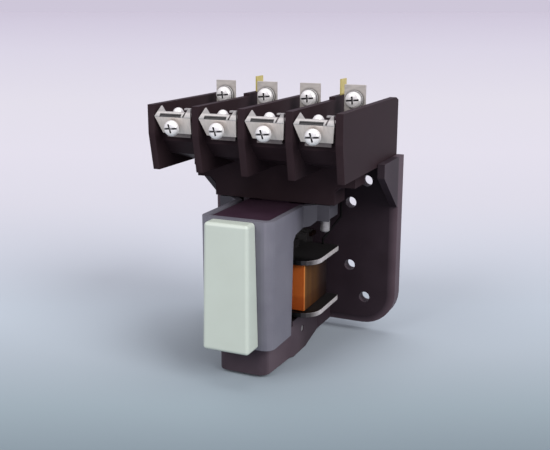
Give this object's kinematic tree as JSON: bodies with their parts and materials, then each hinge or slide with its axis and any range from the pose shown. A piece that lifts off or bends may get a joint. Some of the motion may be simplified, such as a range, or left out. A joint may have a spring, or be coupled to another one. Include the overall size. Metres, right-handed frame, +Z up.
{
  "type": "contactor",
  "caption": "Panel-mounted contactor: dark barrier block with screw terminals, grey front frame with a pale label block, coil and laminated magnet",
  "frame": {"origin": "centre of the flat back face of the base, on the land between the recesses", "axes": "+X to the right seen from the front, +Y into the panel, +Z up to the terminals"},
  "size_m": [0.1076, 0.105, 0.1399],
  "materials": {
    "base_moulding": "dark moulded plastic",
    "block_moulding": "dark moulded plastic",
    "crosshead_moulding": "dark moulded plastic",
    "frame_finish": "grey, semi-matt",
    "label_finish": "pale green-grey, satin",
    "terminal_metal": "nickel-plated",
    "screw_steel": "plated steel",
    "spring_steel": "plain spring wire",
    "core_iron": "stacked sheets",
    "ring_copper": "plain copper",
    "winding_copper": "varnished copper wire",
    "blade_brass": "plain",
    "lead_cover": "dark insulated wire",
    "flange_silver": "silver grey, satin"
  },
  "bodies": {
    "housing": {"base": "base_moulding", "contact_block": "block_moulding", "front_frame": "frame_finish", "label_block": "label_finish", "frame_stud_left": "screw_steel", "frame_stud_right": "screw_steel", "magnet_core": "core_iron", "shading_ring_front": "ring_copper", "shading_ring_rear": "ring_copper", "magnet_pin": "screw_steel", "coil_bobbin": "flange_silver", "coil_winding": "winding_copper", "coil_blade_left": "blade_brass", "coil_blade_right": "blade_brass", "coil_lead_left": "lead_cover", "coil_lead_right": "lead_cover", "block_screw_left": "screw_steel", "block_screw_right": "screw_steel", "return_spring_front": "spring_steel", "return_spring_rear": "spring_steel", "front_strip_1": "terminal_metal", "clamp_plate_1": "terminal_metal", "clamp_screw_1": "screw_steel", "strip_screw_1": "screw_steel", "rear_strip_1": "terminal_metal", "rear_washer_1": "screw_steel", "rear_screw_1": "screw_steel", "front_strip_2": "terminal_metal", "clamp_plate_2": "terminal_metal", "clamp_screw_2": "screw_steel", "strip_screw_2": "screw_steel", "rear_strip_2": "terminal_metal", "rear_washer_2": "screw_steel", "rear_screw_2": "screw_steel", "front_strip_3": "terminal_metal", "clamp_plate_3": "terminal_metal", "clamp_screw_3": "screw_steel", "strip_screw_3": "screw_steel", "rear_strip_3": "terminal_metal", "rear_washer_3": "screw_steel", "rear_screw_3": "screw_steel", "front_strip_4": "terminal_metal", "clamp_plate_4": "terminal_metal", "clamp_screw_4": "screw_steel", "strip_screw_4": "screw_steel", "rear_strip_4": "terminal_metal", "rear_washer_4": "screw_steel", "rear_screw_4": "screw_steel"},
    "crosshead": {"crosshead": "crosshead_moulding", "armature": "core_iron", "armature_pin": "screw_steel", "contact_spring_1": "spring_steel", "contact_spring_2": "spring_steel", "contact_spring_3": "spring_steel", "contact_spring_4": "spring_steel"},
    "bridge_1": {"bridge_1": "terminal_metal"},
    "bridge_2": {"bridge_2": "terminal_metal"},
    "bridge_3": {"bridge_3": "terminal_metal"},
    "bridge_4": {"bridge_4": "terminal_metal"}
  },
  "joints": [
    {"name": "crosshead_slide", "type": "slide", "parent": "housing", "child": "crosshead", "axis": [0, 0, -1], "range_m": [0, 0.0065], "stiffness_N_per_m": 60, "springref_m": -0.004, "deforming": ["return_spring_front", "return_spring_rear"]},
    {"name": "bridge_1_slide", "type": "slide", "parent": "crosshead", "child": "bridge_1", "axis": [0, 0, -1], "range_m": [-0.0018, 0], "deforming": ["contact_spring_1"]},
    {"name": "bridge_2_slide", "type": "slide", "parent": "crosshead", "child": "bridge_2", "axis": [0, 0, -1], "range_m": [-0.0018, 0], "deforming": ["contact_spring_2"]},
    {"name": "bridge_3_slide", "type": "slide", "parent": "crosshead", "child": "bridge_3", "axis": [0, 0, -1], "range_m": [-0.0018, 0], "deforming": ["contact_spring_3"]},
    {"name": "bridge_4_slide", "type": "slide", "parent": "crosshead", "child": "bridge_4", "axis": [0, 0, -1], "range_m": [-0.0018, 0], "deforming": ["contact_spring_4"]}
  ],
  "couplings": [
    {"joint": "bridge_1_slide", "follows": "crosshead_slide", "ratio": -0.2769},
    {"joint": "bridge_2_slide", "follows": "crosshead_slide", "ratio": -0.2769},
    {"joint": "bridge_3_slide", "follows": "crosshead_slide", "ratio": -0.2769},
    {"joint": "bridge_4_slide", "follows": "crosshead_slide", "ratio": -0.2769}
  ]
}
